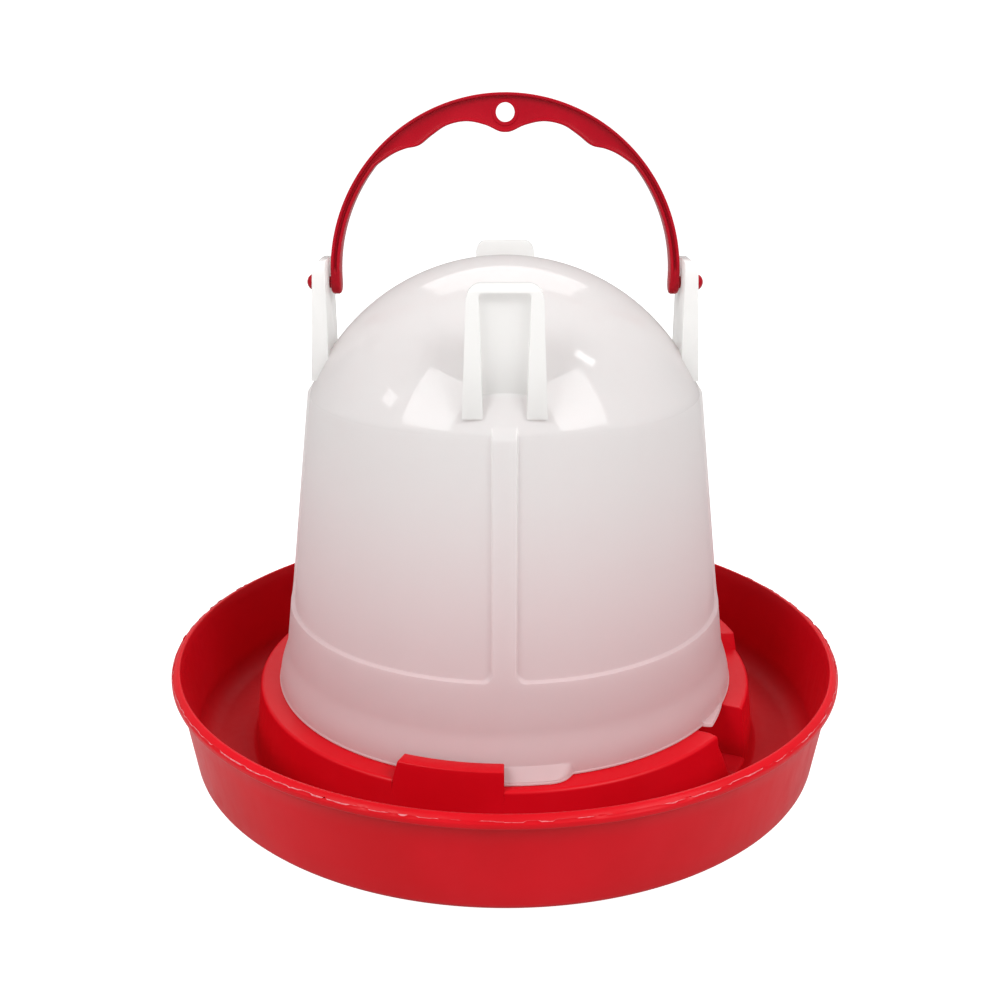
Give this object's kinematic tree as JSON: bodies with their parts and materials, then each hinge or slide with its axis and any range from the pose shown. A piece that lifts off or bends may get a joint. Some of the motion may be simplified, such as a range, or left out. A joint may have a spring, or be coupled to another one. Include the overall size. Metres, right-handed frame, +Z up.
{
  "type": "poultry waterer fount",
  "caption": "Siphon drinker for poultry: a round trough tray with hooks, a translucent domed fount that twists into them, and a swinging carry handle.",
  "frame": {"origin": "centre of the tray's underside, on the surface that it stands on", "axes": "+Z up along the common axis of tray and fount, -Y to the front with one locking hook, handle's swinging axis along X"},
  "size_m": [0.312, 0.312, 0.2948],
  "materials": {
    "tray_plastic": "moulded polypropylene, semi-gloss red",
    "fount_plastic": "translucent milky polyethylene, glossy dome and satin side panels",
    "leg_plastic": "thick milky polyethylene, satin",
    "handle_plastic": "moulded polypropylene, satin red"
  },
  "bodies": {
    "tray": {"tray_basin": "tray_plastic", "ledge_ring": "tray_plastic", "centre_floor": "tray_plastic", "locking_hook_front": "tray_plastic", "locking_hook_right": "tray_plastic", "locking_hook_left": "tray_plastic"},
    "fount": {"fount_shell": "fount_plastic", "locking_lug_front": "fount_plastic", "locking_lug_right": "fount_plastic", "locking_lug_left": "fount_plastic", "leg_front": "leg_plastic", "leg_right": "leg_plastic", "leg_back": "leg_plastic", "leg_left": "leg_plastic"},
    "handle": {"handle_bow": "handle_plastic", "handle_pin_right": "handle_plastic", "handle_pin_left": "handle_plastic"}
  },
  "joints": [
    {"name": "fount_twist", "type": "hinge", "parent": "tray", "child": "fount", "pos_m": [0, 0, 0.0325], "axis": [0, 0, 1], "range_deg": [0, 32]},
    {"name": "handle_swing", "type": "hinge", "parent": "fount", "child": "handle", "pos_m": [0, 0, 0.216], "axis": [1, 0, 0], "range_deg": [-75, 75]}
  ]
}
